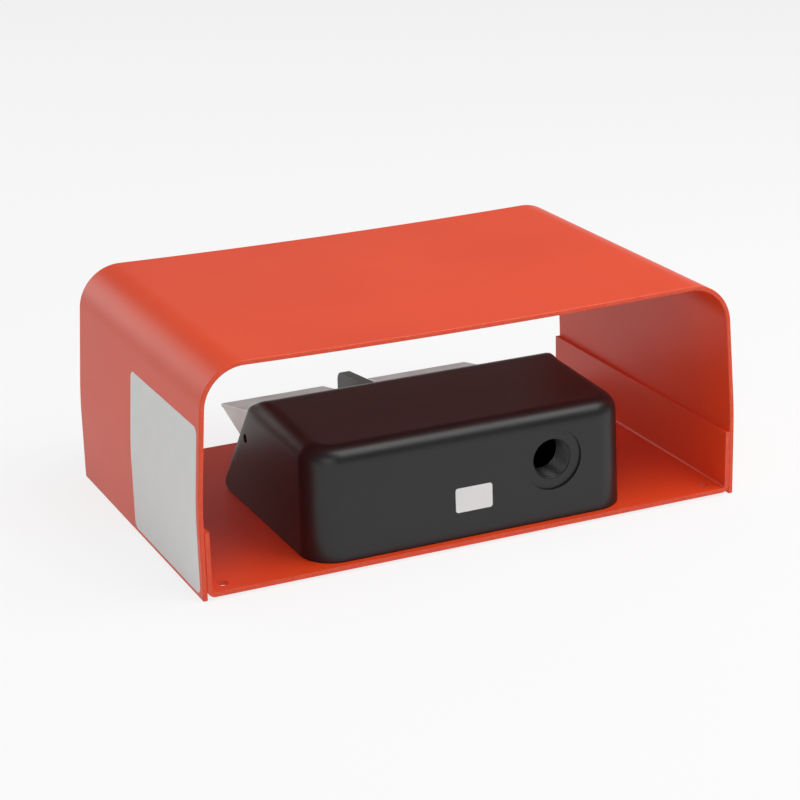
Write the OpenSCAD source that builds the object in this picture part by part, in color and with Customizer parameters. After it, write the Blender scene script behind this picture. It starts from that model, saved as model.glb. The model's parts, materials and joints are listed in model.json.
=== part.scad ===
// Twin-treadle industrial foot switch under a folded sheet-steel guard.
// +Z is up, the operator's foot comes in from -Y, the cable leaves towards +Y.
// The origin is on the ground, in the middle of the guard.

/* [Guard] */
// Overall width of the guard, at its feet
guard_w = 295.4; // [285:0.2:330]
// Depth of the guard, from the foot opening to the cable side
guard_d = 188; // [180:1:230]
// Height of the guard at its shoulders
guard_h = 117.3; // [110:0.1:140]
// Thickness of the guard's steel sheet
sheet_t = 2.5; // [2:0.1:2.6]
// Outer radius of the two shoulder bends
shoulder_r = 23.2; // [15:0.1:30]
// How far the upper side walls lean inwards, in degrees
wall_lean = 4; // [1:0.5:5]
// How far the top falls from each bend towards its middle, in degrees
top_fall = 1.3; // [0.3:0.1:2]
// Height of the tray's side flanges above the ground
flange_top = 34.8; // [25:0.1:34.8]
// Gap between the tray and the ground
tray_lift = 1.4; // [1:0.1:2]
// Distance between the floor holes, across the guard
floor_hole_dx = 268.8; // [250:0.2:270]
// Distance between the floor holes, front to back
floor_hole_dy = 170.4; // [150:0.2:172]
// Diameter of the floor holes
floor_hole_d = 6; // [4:0.1:7]

/* [Housing] */
// Width of the cast housing
body_w = 177; // [172:0.2:180]
// Sideways offset of the housing from the guard's middle
body_x = 0.7; // [0:0.1:2]
// Height of the housing above the tray floor, at its rear face
body_h = 58.1; // [57:0.1:60]
// How steeply the housing's top rises towards the front, in degrees
top_slope = 2.8; // [2:0.1:4]
// Where the housing's rear face meets the tray floor
body_rear = 90.2; // [88:0.1:91]
// Wall thickness of the casting
wall_t = 3; // [2.5:0.1:3.2]
// Radius of the housing's upright rear corners
corner_r = 18; // [14:0.5:20]
// Radius of the rear top edge
rear_edge_r = 9; // [7:0.5:10]
// Radius of the top edges at the front ends
end_edge_r = 11; // [9:0.5:12]
// Steepness of the housing's front face, in degrees
front_slope = 53.3; // [52:0.1:55]
// Threaded cable entry, diameter inside the thread
entry_d = 19.2; // [16:0.1:20]
// Diameter of the machined face round the cable entry
entry_face_d = 32.5; // [30:0.5:34]

/* [Treadles] */
// Width of each treadle
treadle_w = 59.2; // [50:0.1:60]
// How steeply the treadles rise towards the housing, in degrees
treadle_rise = 11.7; // [10:0.1:12]
// Thickness of the treadles' sheet
treadle_t = 2; // [1.5:0.1:2]
// Width of the gap between the two treadles
treadle_gap = 26; // [24:0.5:30]
// Diameter of the pivot pin
pin_d = 4.76; // [4.5:0.01:5]
// Thickness of the divider between the treadles
divider_t = 5.6; // [4:0.1:6]

/* [Hidden] */
$fn = 48;

// Guard: the upper walls start to lean just above the tray's flanges.
foot_h = flange_top + 0.7;
lean_r = 300;
lean_rise = lean_r * sin(wall_lean);
shoulder_turn = 90 - wall_lean + top_fall;
wall_run = (guard_h - shoulder_r * (1 - sin(wall_lean)) - foot_h - lean_rise) / cos(wall_lean);
shoulder_x = guard_w / 2 - lean_r * (1 - cos(wall_lean)) - wall_run * sin(wall_lean);
top_edge_x = shoulder_x - shoulder_r * (cos(wall_lean) + sin(top_fall));
top_r = top_edge_x / sin(top_fall);
tray_w = guard_w - 2 * sheet_t;
tray_bend_r = 4;
floor_z = tray_lift + sheet_t;

// Housing: ends, top and the line of its front face.
body_left = body_x - body_w / 2;
body_right = body_x + body_w / 2;
rear_top = floor_z + body_h;
draft = 1;
toe_r = 4;
brow_r = 11;
front_y = -18.1;
front_z = 28.4;
toe_y = front_y + (floor_z - front_z) / tan(front_slope) + toe_r / tan(front_slope / 2);
nose_r = 14;
nose_y = -45;
rib_t = 2;
rib_h = 4;
rib_front = 20;
rib_low = rear_top - wall_t - rib_h;
plate_t = 2.5;
plate_top = floor_z + plate_t;
plate_play = 0.3;
boss_r = 4.6;
rear_boss_inset = 11;
front_boss_y = -16;
entry_x = body_x - 43.7;
entry_z = 36.7;
entry_face_y = body_rear - 1.6;
entry_cone_h = 1.2;
entry_boss_r = 15;
entry_boss_y = body_rear - 15;

// Treadles: pivot, plate and the front opening that they work in.
pivot_z = 42;
tip_y = -48.6;
tip_z = 45.3;
gap_x = 11.4;
left_x = gap_x - (treadle_gap + treadle_w) / 2;
right_x = gap_x + (treadle_gap + treadle_w) / 2;
treadle_xs = [left_x, right_x];
flange_y = 7;
flange_low = 24;
skirt_fall = 16.4;
slot_low = 31.9;
slot_high = 57.5;
slot_rear = 10;
slot_left = left_x - treadle_w / 2 - 1.5;
slot_right = right_x + treadle_w / 2 + 1.2;
pin_r = pin_d / 2;
pin_left = body_left + 1.4;
pin_right = body_right - 1.9;
bush_r = 4;
bush_flange_r = 5.5;
bush_flange_t = 0.8;
spacer_r = 3.2;
end_play = 0.25;
divider_tips = [[-47.4, 45.6], [-47.5, 40.5]];
divider_tip_r = 5.8;
divider_foot = [21.2, 17.5, 3];

// Springs and switches.
spring_y = -8;
spring_r = 4;
spring_wire = 1.1;
seat_z = 46.6;
ledge_z = 22.5;
bracket_t = 1.5;
bracket_foot = 2.8;
bracket_front = 11;
bracket_rear = 30;
stop_tab_w = 12;
stop_tab_h = 25;
switch_size = [27.8, 15.9, 10.3];
switch_y = 10.6;
switch_z = ledge_z + switch_size[2] / 2;
switch_hole_dx = 22.2;
switch_hole_y = switch_y + switch_size[1] - 2.8;
plunger_r = 1.5;

// Fasteners: thread diameter, head diameter, head height.
m3 = [3, 5.5, 2.2];
m3_low = [3, 5.4, 2];
m4 = [4, 8, 3];
m4_small = [4, 6.4, 2.4];
m4_flat = [4, 7.8, 2.2];
clinch_d = 5.4;
tray_screw_at = [for (x = [-63, 66], y = [-18, 50]) [x, y]];
body_screw_at = [
    [body_left + rear_boss_inset + 1, body_rear - rear_boss_inset - 3],
    [body_right - rear_boss_inset - 1, body_rear - rear_boss_inset - 3],
    [body_left + 7.6, front_boss_y],
    [body_right - 7.6, front_boss_y]];
divider_screw_at = [for (side = [-1, 1]) [gap_x + side * 7.4, -9]];
bracket_screw_at = [for (x = [left_x - 18, right_x + 18], y = [7.4, 34.5]) [x, y]];
switch_screw_at = [for (x = treadle_xs, side = [-1, 1])
    [x + side * switch_hole_dx / 2, switch_hole_y]];
earth_at = [-8, 60];

// Labels.
label_t = 0.12;
side_label_y = [-7, 90.3];
side_label_z = [2.3, 86.6];
rear_label_x = [-8.6, 11.8];
rear_label_z = [17.9, 30.8];

// A folded sheet is walked as runs of [length, turn, steps] from a start point and
// heading. Each step gives [x, y, heading]; the sheet lies on the left of the walk.
function arc_step(a, s, t) = abs(t) < 0.001 ? s * [cos(a), sin(a)] :
    s / t * 180 / PI * [sin(a + t) - sin(a), cos(a) - cos(a + t)];
function walk(p, a, runs, i = 0) = i == len(runs) ? [] :
    let (s = runs[i][0], t = runs[i][1], n = runs[i][2], q = p + arc_step(a, s, t))
    concat([for (k = [1:n])
        let (e = p + arc_step(a, s * k / n, t * k / n)) [e[0], e[1], a + t * k / n]],
        walk(q, a + t, runs, i + 1));
function side_of(path, d) = [for (q = path)
    [q[0] - d * sin(q[2]), q[1] + d * cos(q[2])]];
function reversed(list) = [for (i = [len(list) - 1:-1:0]) list[i]];
function mirrored(list) = [for (q = reversed(list)) [-q[0], q[1], 360 - q[2]]];
function arc_len(r, t) = r * t * PI / 180;

// Completes half of a path, from one foot to the middle, with its mirror image.
function whole(half) = concat(half, mirrored([for (i = [0:len(half) - 2]) half[i]]));

guard_path = whole(concat([[guard_w / 2, 0, 90]], walk([guard_w / 2, 0], 90, [
    [foot_h, 0, 1],
    [arc_len(lean_r, wall_lean), wall_lean, 6],
    [wall_run, 0, 1],
    [arc_len(shoulder_r, shoulder_turn), shoulder_turn, 20],
    [arc_len(top_r, top_fall), -top_fall, 6]])));

module folded(path, t) {
    polygon(concat(side_of(path, 0), reversed(side_of(path, t))));
}

// Extrudes a profile drawn in X and Z along the depth of the guard.
module along_depth(d) {
    translate([0, d / 2, 0]) rotate([90, 0, 0]) linear_extrude(d) children();
}

// Extrudes a profile drawn in Y and Z from x, over a width w.
module across(x, w) {
    translate([x, 0, 0]) rotate([90, 0, 90]) linear_extrude(w) children();
}

module rounded_rect(size, r) {
    hull() for (x = [r, size[0] - r], y = [r, size[1] - r]) translate([x, y]) circle(r, $fn = 32);
}

module drill(at, d, z = -1, h = 100) {
    for (p = at) translate([p[0], p[1], z]) cylinder(h = h, d = d);
}

module guard_hood() color("#f2583a") along_depth(guard_d) folded(guard_path, sheet_t);

module guard_tray() color("#e0472b") difference() {
    along_depth(guard_d) {
        flange_run = flange_top - tray_lift - tray_bend_r;
        bend = arc_len(tray_bend_r, 90);
        half = concat([[-tray_w / 2, flange_top, 270]], walk([-tray_w / 2, flange_top], 270, [
            [flange_run, 0, 1],
            [bend, 90, 8],
            [tray_w / 2 - tray_bend_r, 0, 1]]));
        folded(whole(half), sheet_t);
    }
    for (x = [-1, 1], y = [-1, 1])
        translate([x * floor_hole_dx / 2, y * floor_hole_dy / 2, -1]) cylinder(h = 10, d = floor_hole_d);
    for (p = tray_screw_at) translate([p[0], p[1], tray_lift]) flat_seat(m4_flat);
}

// A thin label that follows the side wall of the guard.
module side_label() color("#f4f4f2") intersection() {
    along_depth(guard_d) folded(guard_path, -label_t);
    translate([0, side_label_y[0], side_label_z[0]]) rotate([90, 0, 90])
        linear_extrude(guard_w)
            rounded_rect([side_label_y[1] - side_label_y[0], side_label_z[1] - side_label_z[0]], 4);
}

module rear_label() color("#f4f4f2")
    translate([0, body_rear, floor_z]) rotate([draft, 0, 0]) translate([0, 0, -floor_z])
        translate([rear_label_x[1], 0, rear_label_z[0]]) rotate([90, 0, 180])
            linear_extrude(label_t)
                rounded_rect([rear_label_x[1] - rear_label_x[0], rear_label_z[1] - rear_label_z[0]], 1.5);

// Height of the housing's sloping top at y, sunk by a wall's thickness.
function top_at(y, sunk) = rear_top + (body_rear - y) * tan(top_slope) - sunk / cos(top_slope);

// One upright corner of the housing: a drafted post with a rounded top edge. The
// sloping top rests on the rearmost points of the four posts' flat ends.
module corner_post(y, r, edge_r, sunk) {
    top = top_at(y + r - edge_r, sunk);
    top_r = max(r - (top - edge_r - floor_z) * tan(draft), edge_r);
    steps = 8;
    rotate_extrude($fn = 64) polygon(concat(
        [[0, floor_z - 1], [r, floor_z - 1], [r, floor_z]],
        [for (i = [0:steps]) let (a = 90 * i / steps)
            [top_r - edge_r + edge_r * cos(a), top - edge_r + edge_r * sin(a)]],
        [[0, top]]));
}

// Drafted block with blended edges, set in from the housing's outside by the wall.
module drafted_block(inset) {
    rear_y = body_rear - corner_r;
    hull() {
        for (x = [body_left + corner_r, body_right - corner_r])
            translate([x, rear_y, 0]) corner_post(rear_y, corner_r - inset, rear_edge_r - inset, inset);
        for (x = [body_left + nose_r, body_right - nose_r])
            translate([x, nose_y, 0]) corner_post(nose_y, nose_r - inset, end_edge_r - inset, inset);
    }
}

// Side profile of the housing: rounded toe, sloping front and rounded brow. Inside,
// the foot of the front wall stands upright behind the toe, so that it stays thick.
module side_profile(inset) {
    shift = inset / sin(front_slope);
    low = inset > 0 ? floor_z - 2 : floor_z;
    rear = body_rear + 10;
    toe_c = [toe_y, floor_z + toe_r];
    foot_y = toe_y + inset;
    turn = front_slope + top_slope;
    brow_y = (top_at(0, inset) - front_z + (front_y + shift) * tan(front_slope))
        / (tan(front_slope) + tan(top_slope));
    brow_c = [brow_y, top_at(brow_y, inset)] + brow_r * (tan(turn / 2) * [cos(top_slope), -sin(top_slope)]
        - [sin(top_slope), cos(top_slope)]);
    steps = 8;
    polygon(concat(
        inset > 0 ? [[foot_y, low],
                [foot_y, front_z + (foot_y - shift - front_y) * tan(front_slope)]] :
            [for (i = [0:steps]) let (a = 270 - i * (180 - front_slope) / steps)
                toe_c + toe_r * [cos(a), sin(a)]],
        [for (i = [0:steps]) let (a = 90 + front_slope - i * turn / steps)
            brow_c + brow_r * [cos(a), sin(a)]],
        [[rear, top_at(rear, inset)], [rear, low]]));
}

module housing_block(inset) intersection() {
    drafted_block(inset);
    across(body_left - 5, body_w + 10) side_profile(inset);
}

module housing() color("#1d1e20") difference() {
    union() {
        difference() {
            housing_block(0);
            housing_block(wall_t);
            translate([body_left, -60, floor_z - 5]) cube([body_w, 160, 5]);
        }
        // Screw bosses: the rear pair runs up to the top, the front pair stops under the treadles.
        intersection() {
            for (i = [0:3]) translate([body_screw_at[i][0], body_screw_at[i][1], plate_top])
                cylinder(h = i < 2 ? body_h - plate_t : 19, r = boss_r);
            housing_block(1);
        }
        // Boss that gives the cable thread its length.
        translate([entry_x, entry_boss_y, entry_z]) rotate([-90, 0, 0])
            cylinder(h = entry_face_y - entry_boss_y - 0.5, r = entry_boss_r);
        // Stiffening ribs under the top, running back from the brow.
        for (x = [body_left + 40, gap_x, body_right - 40]) across(x - rib_t / 2, rib_t) polygon([
            [rib_front, rib_low], [body_rear - wall_t, rib_low], [body_rear - wall_t, rib_low + rib_h / 2],
            [body_rear - rear_edge_r, top_at(body_rear - rear_edge_r, wall_t - 1)],
            [rib_front, top_at(rib_front, wall_t - 1)]]);
    }
    // Opening that the treadles work in, with the divider's slot below it.
    translate([slot_left, -60, slot_low]) cube([slot_right - slot_left, slot_rear + 60, slot_high - slot_low]);
    translate([gap_x - divider_t / 2 - 0.3, -60, 0]) cube([divider_t + 0.6, slot_rear + 60, slot_high]);
    // Pivot pin's hole, through both end walls.
    translate([body_left - 5, 0, pivot_z]) rotate([0, 90, 0]) cylinder(h = body_w + 10, r = pin_r + 0.02);
    // Cable entry, its lead-in and the machined face round it.
    translate([entry_x, body_rear + 5, entry_z]) rotate([90, 0, 0]) cylinder(h = 30, d = entry_d);
    translate([entry_x, entry_face_y, entry_z]) rotate([90, 0, 0])
        cylinder(h = entry_cone_h, d1 = entry_d + 2 * entry_cone_h, d2 = entry_d);
    translate([entry_x, entry_face_y, entry_z]) rotate([-90, 0, 0]) cylinder(h = 10, d = entry_face_d);
    for (p = body_screw_at) translate([p[0], p[1], plate_top - 1]) cylinder(h = 14, d = m4[0] + 0.1);
}

module base_plate() color("#8d9092") difference() {
    edge = wall_t + plate_play;
    translate([0, 0, floor_z]) linear_extrude(plate_t) hull() {
        for (x = [body_left + corner_r, body_right - corner_r])
            translate([x, body_rear - corner_r]) circle(corner_r - edge);
        translate([body_left + edge, toe_y + edge]) square([body_w - 2 * edge, 10]);
    }
    drill(tray_screw_at, clinch_d + 0.1);
    for (p = body_screw_at) translate([p[0], p[1], floor_z]) flat_seat(m4_flat);
    drill(divider_screw_at, m4[0] + 0.1);
    drill(bracket_screw_at, m3[0] + 0.1);
    drill([earth_at], m4[0] + 0.1);
    drill([for (x = treadle_xs) [x, spring_y]], 3.1);
}

// Countersunk screw standing on its head, and the seat that it needs.
module flat_screw(m, len) {
    cylinder(h = m[2], d1 = m[1], d2 = m[0]);
    cylinder(h = len, d = m[0]);
}
module flat_seat(m) {
    translate([0, 0, -1]) cylinder(h = 1, d = m[1] + 0.1);
    cylinder(h = m[2], d1 = m[1] + 0.1, d2 = m[0] + 0.1);
    cylinder(h = 10, d = m[0] + 0.1);
}

// Pan-head screw whose head sits on z = 0 and whose shank hangs down.
module pan_screw(m, len) {
    rotate_extrude() polygon(concat([[0, -len], [m[0] / 2, -len], [m[0] / 2, 0], [m[1] / 2, 0]],
        [for (i = [0:4]) [m[1] / 2 - 1 + cos(22.5 * i), m[2] - 1 + sin(22.5 * i)]], [[0, m[2]]]));
}

module housing_screws() color("silver")
    for (p = body_screw_at) translate([p[0], p[1], floor_z]) flat_screw(m4_flat, 14);

module tray_screws() color("silver")
    for (p = tray_screw_at) translate([p[0], p[1], tray_lift]) flat_screw(m4_flat, 9.5);

// Clinch nuts: a shank pressed into the base plate and a round head above it.
module clinch_nuts() color("#b8b9b4") for (p = tray_screw_at) translate([p[0], p[1], 0]) difference() {
    union() {
        translate([0, 0, plate_top - 2]) cylinder(h = 2, d = clinch_d);
        translate([0, 0, plate_top]) cylinder(h = 3, d = 8.7);
    }
    translate([0, 0, floor_z]) cylinder(h = 10, d = m4[0] + 0.1);
}

// Cast barrier between the treadles; it also carries the middle of the pivot pin.
module treadle_divider() color("#2a2c2d") difference() {
    union() {
        across(gap_x - divider_t / 2, divider_t) {
            hull() {
                for (tip = divider_tips) translate(tip) circle(divider_tip_r, $fn = 32);
                polygon([[-20, plate_top], [2, plate_top], [2, 26], [-20, 54.5]]);
            }
            polygon([[-20, 54.5], [-20, 20], [2, 20], [9, 28], [9, 56], [-5, 55.5]]);
        }
        translate([gap_x - divider_foot[0] / 2, -16, plate_top]) cube(divider_foot);
    }
    translate([gap_x - 10, 0, pivot_z]) rotate([0, 90, 0]) cylinder(h = 20, r = pin_r + 0.02);
    drill(divider_screw_at, m4[0] + 0.4);
}

module divider_screws() color("silver")
    for (p = divider_screw_at) translate([p[0], p[1], plate_top + divider_foot[2]]) pan_screw(m4_small, 5.4);

module pivot_pin() color("#a9abac")
    translate([pin_left, 0, pivot_z]) rotate([0, 90, 0]) cylinder(h = pin_right - pin_left, r = pin_r);

// Tubes on the pin that keep the treadles in their places along it.
module spacer(x0, x1) {
    translate([x0, 0, pivot_z]) rotate([0, 90, 0]) difference() {
        cylinder(h = x1 - x0, r = spacer_r);
        translate([0, 0, -1]) cylinder(h = x1 - x0 + 2, r = pin_r + 0.05);
    }
}
module pin_spacers() color("#c4c5c2") {
    reach = treadle_w / 2 + bush_flange_t + end_play;
    spacer(body_left + wall_t + 0.9, left_x - reach);
    spacer(left_x + reach, gap_x - divider_t / 2);
    spacer(gap_x + divider_t / 2, right_x - reach);
    spacer(right_x + reach, body_right - wall_t - 0.8);
}

// Folded treadle: sloping plate, rear flange that works the switch, tapered side skirts.
module treadle(x) {
    rise_y = flange_y - tip_y;
    bend_r = 4;
    bend = 90 + treadle_rise;
    plate_run = (rise_y - bend_r * (1 + sin(treadle_rise))) / cos(treadle_rise);
    plate_rise = plate_run * sin(treadle_rise);
    bend_drop = bend_r * cos(treadle_rise);
    flange_run = tip_z + plate_rise - bend_drop - flange_low;
    path = concat([[tip_y, tip_z, treadle_rise]], walk([tip_y, tip_z], treadle_rise, [
        [plate_run, 0, 1],
        [arc_len(bend_r, bend), -bend, 8],
        [flange_run, 0, 1]]));
    skirt_low = tip_z - 1 - (-tip_y) * tan(skirt_fall);
    difference() {
        union() {
            across(x - treadle_w / 2, treadle_w) folded(path, -treadle_t);
            for (side = [x - treadle_w / 2, x + treadle_w / 2 - treadle_t])
                across(side, treadle_t) polygon(concat(
                    [for (q = path) if (q[1] > skirt_low) [q[0], q[1]]],
                    [[flange_y, skirt_low], [0, skirt_low], [tip_y + 0.6, tip_z - 1]]));
        }
        translate([x - treadle_w, 0, pivot_z]) rotate([0, 90, 0]) cylinder(h = 2 * treadle_w, r = bush_r);
    }
}
module left_treadle() color("#c9c4c1") treadle(left_x);
module right_treadle() color("#c9c4c1") treadle(right_x);

// Flanged bushes, one in each skirt.
module bushes(x) {
    for (side = [-1, 1]) translate([x + side * treadle_w / 2, 0, pivot_z]) rotate([0, side * 90, 0])
        difference() {
            union() {
                cylinder(h = bush_flange_t, r = bush_flange_r);
                translate([0, 0, -treadle_t - 0.4]) cylinder(h = treadle_t + 0.4, r = bush_r);
            }
            translate([0, 0, -5]) cylinder(h = 10, r = pin_r + 0.06);
        }
}
module left_bushes() color("#e8e6df") bushes(left_x);
module right_bushes() color("#e8e6df") bushes(right_x);

// Compression spring with one dead turn at each end.
function spring_rise(u, h, turns) = u < 1 ? spring_wire * u :
    u > turns - 1 ? h - spring_wire * (turns - u + 1) :
    spring_wire + (h - 3 * spring_wire) * (u - 1) / (turns - 2);
module return_spring(x) {
    turns = 9;
    h = seat_z - plate_top;
    per_turn = 12;
    sides = 6;
    rings = turns * per_turn;
    points = [for (i = [0:rings], k = [0:sides - 1])
        let (a = 360 * i / per_turn, b = 360 * k / sides,
            r = spring_r + spring_wire / 2 * cos(b))
        [r * cos(a), r * sin(a), spring_wire / 2 * (1 + sin(b)) + spring_rise(i / per_turn, h, turns)]];
    faces = concat(
        [[for (k = [0:sides - 1]) k]],
        [for (i = [0:rings - 1], k = [0:sides - 1]) let (a = i * sides, n = (k + 1) % sides)
            [a + n, a + k, a + sides + k]],
        [for (i = [0:rings - 1], k = [0:sides - 1]) let (a = i * sides, n = (k + 1) % sides)
            [a + n, a + sides + k, a + sides + n]],
        [[for (k = [sides - 1:-1:0]) rings * sides + k]]);
    translate([x, spring_y, plate_top]) polyhedron(points, faces);
}
module left_return_spring() color("#9fa2a3") return_spring(left_x);
module right_return_spring() color("#9fa2a3") return_spring(right_x);

// Nylon seat under the treadle's sloping plate, with a pilot inside the spring.
module spring_seat(x) {
    under_z = tip_z + (spring_y - tip_y) * tan(treadle_rise) - treadle_t / cos(treadle_rise);
    difference() {
        union() {
            translate([x, spring_y, seat_z]) cylinder(h = 10, r = 5.6);
            translate([x, spring_y, seat_z - 4]) cylinder(h = 5, r = 2.6);
        }
        translate([x, spring_y, under_z]) rotate([treadle_rise, 0, 0])
            translate([-20, -20, 0]) cube([40, 40, 20]);
    }
}
module left_spring_seat() color("#e8e6df") spring_seat(left_x);
module right_spring_seat() color("#e8e6df") spring_seat(right_x);

module spring_posts() color("silver") for (x = treadle_xs) translate([x, spring_y, 0]) {
    translate([0, 0, floor_z + 0.4]) cylinder(h = plate_t, d = 3);
    translate([0, 0, plate_top]) cylinder(h = 14, d = 5.2);
}

// Hat-section bracket for both switches, with an upright stop tab for each treadle.
module switch_bracket() color("#a7aaac") difference() {
    x0 = left_x - 26;
    w = right_x - left_x + 52;
    union() {
        across(x0, w) polygon([
            [bracket_foot, plate_top], [bracket_front + bracket_t, plate_top],
            [bracket_front + bracket_t, ledge_z - bracket_t],
            [bracket_rear - bracket_t, ledge_z - bracket_t],
            [bracket_rear - bracket_t, plate_top], [bracket_rear + 9, plate_top],
            [bracket_rear + 9, plate_top + bracket_t], [bracket_rear, plate_top + bracket_t],
            [bracket_rear, ledge_z], [bracket_front, ledge_z],
            [bracket_front, plate_top + bracket_t], [bracket_foot, plate_top + bracket_t]]);
        for (x = treadle_xs) translate([x - stop_tab_w / 2, bracket_foot, plate_top])
            cube([stop_tab_w, bracket_t, stop_tab_h]);
    }
    drill(bracket_screw_at, m3[0] + 0.3);
    drill(switch_screw_at, m3[0] + 0.2);
}

module bracket_screws() color("silver")
    for (p = bracket_screw_at) translate([p[0], p[1], plate_top + bracket_t]) pan_screw(m3_low, 3.9);

// Rubber caps on the stop tabs; the treadles' rear flanges rest against them.
module stop_bumpers() color("#202020") for (x = treadle_xs)
    translate([x, bracket_foot, plate_top + stop_tab_h - 8]) difference() {
        translate([-stop_tab_w / 2 - 1, -1, 0]) cube([stop_tab_w + 2, 3, 9]);
        translate([-stop_tab_w / 2, 0, -1]) cube([stop_tab_w, bracket_t, 9]);
    }

// Snap-action switch, lying on the bracket with its plunger towards the treadle.
module switch_case(x) difference() {
    translate([x - switch_size[0] / 2, switch_y, ledge_z]) {
        difference() {
            cube(switch_size);
            for (cut = [[-1, -1], [switch_size[0] - 2.4, -1]])
                translate([cut[0], cut[1], -1]) cube([3.4, 2.2, switch_size[2] + 2]);
        }
        translate([switch_size[0] / 2 - 3.5, -0.8, 2]) cube([7, 1.5, switch_size[2] - 4]);
    }
    for (side = [-1, 1]) translate([x + side * switch_hole_dx / 2, switch_hole_y, 0])
        cylinder(h = 60, d = m3[0] + 0.2);
    translate([x, switch_y - 2, switch_z]) rotate([-90, 0, 0]) cylinder(h = 9, r = plunger_r + 0.06);
}
module left_switch_case() color("#26282b") switch_case(left_x);
module right_switch_case() color("#26282b") switch_case(right_x);

// Switch plunger with a domed tip.
module plunger(x) {
    tip = flange_y + 0.35;
    translate([x, tip, switch_z]) rotate([-90, 0, 0]) rotate_extrude() polygon(concat(
        [for (i = [0:5]) [plunger_r - 0.5 + 0.5 * sin(18 * i), 0.5 - 0.5 * cos(18 * i)]],
        [[plunger_r, 6], [0, 6], [0, 0]]));
}
module left_plunger() color("#c8372a") plunger(left_x);
module right_plunger() color("#c8372a") plunger(right_x);

// Three tab terminals at the back of each switch.
module terminals(x) {
    for (i = [-1, 0, 1]) translate([x + i * 8.6 - 2.4, switch_y + switch_size[1], switch_z - 0.4])
        difference() {
            cube([4.8, 7.5, 0.8]);
            translate([2.4, 4.8, -1]) cylinder(h = 3, d = 1.6);
        }
}
module left_terminals() color("#c9a85a") terminals(left_x);
module right_terminals() color("#c9a85a") terminals(right_x);

module switch_screws() color("silver")
    for (p = switch_screw_at) translate([p[0], p[1], ledge_z + switch_size[2]]) pan_screw(m3, 15);

module switch_nuts() color("silver")
    for (p = switch_screw_at) translate([p[0], p[1], ledge_z - bracket_t - 2.4]) difference() {
        cylinder(h = 2.4, d = 6.35, $fn = 6);
        translate([0, 0, -1]) cylinder(h = 5, d = m3[0] + 0.1);
    }

module earth_screw() color("#4f9a4c")
    translate([earth_at[0], earth_at[1], plate_top]) union() {
        difference() {
            cylinder(h = 1, d = 9.6);
            translate([0, 0, -1]) cylinder(h = 3, d = m4[0] + 0.1);
        }
        translate([0, 0, 1]) pan_screw(m4, 3.4);
    }

guard_hood();
guard_tray();
side_label();
rear_label();
housing();
base_plate();
housing_screws();
tray_screws();
clinch_nuts();
treadle_divider();
divider_screws();
pivot_pin();
pin_spacers();
left_treadle();
right_treadle();
left_bushes();
right_bushes();
left_return_spring();
right_return_spring();
left_spring_seat();
right_spring_seat();
spring_posts();
switch_bracket();
bracket_screws();
stop_bumpers();
left_switch_case();
right_switch_case();
left_plunger();
right_plunger();
left_terminals();
right_terminals();
switch_screws();
switch_nuts();
earth_screw();
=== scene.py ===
import json
import math

import bmesh
import bpy
import numpy as np
from mathutils import Matrix, Vector


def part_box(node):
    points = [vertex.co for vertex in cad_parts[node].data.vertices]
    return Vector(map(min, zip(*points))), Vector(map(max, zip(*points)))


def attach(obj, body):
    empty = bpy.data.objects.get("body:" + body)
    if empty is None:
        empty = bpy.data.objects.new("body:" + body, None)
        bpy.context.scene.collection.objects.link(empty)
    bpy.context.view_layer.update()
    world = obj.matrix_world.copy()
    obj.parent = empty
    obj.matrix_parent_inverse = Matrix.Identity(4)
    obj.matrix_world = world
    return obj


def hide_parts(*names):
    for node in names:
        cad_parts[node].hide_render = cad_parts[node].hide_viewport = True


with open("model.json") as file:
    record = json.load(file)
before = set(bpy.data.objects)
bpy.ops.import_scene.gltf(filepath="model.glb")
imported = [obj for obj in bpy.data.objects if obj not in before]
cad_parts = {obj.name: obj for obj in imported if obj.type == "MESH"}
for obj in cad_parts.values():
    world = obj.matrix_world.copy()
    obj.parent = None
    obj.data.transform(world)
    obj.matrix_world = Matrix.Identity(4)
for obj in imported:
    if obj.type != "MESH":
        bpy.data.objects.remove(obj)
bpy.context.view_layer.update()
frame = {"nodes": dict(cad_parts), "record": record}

mm = 0.001
record = frame["record"]
bodyOf = {node: body for body, nodes in record["behaviour"]["bodies"].items() for node in nodes}
print("frame loaded:", len(frame["nodes"]), "nodes")


def boxOf(node):
    # a node's lowest and highest corner in millimetres
    low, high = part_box(node)
    return np.array(low) / mm, np.array(high) / mm


def solidBoxes(node):
    # boxes of the separate solids in a node: points joined by a face get the lowest number among them
    mesh = frame["nodes"][node].data
    points = np.zeros(len(mesh.vertices) * 3)
    mesh.vertices.foreach_get("co", points)
    points = points.reshape(-1, 3) / mm
    faces = np.zeros(len(mesh.polygons) * 3, int)
    mesh.polygons.foreach_get("vertices", faces)
    _, same = np.unique(points.round(4), axis=0, return_inverse=True)
    faces = same.reshape(-1)[faces].reshape(-1, 3)
    label = np.arange(same.max() + 1)
    for _ in range(400):
        before = label.copy()
        lowest = label[faces].min(1)
        for corner in range(3):
            np.minimum.at(label, faces[:, corner], lowest)
        label = label[label]
        if (label == before).all():
            break
    owner = label[same.reshape(-1)]
    return [(points[owner == k].min(0), points[owner == k].max(0)) for k in np.unique(owner)]


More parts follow.
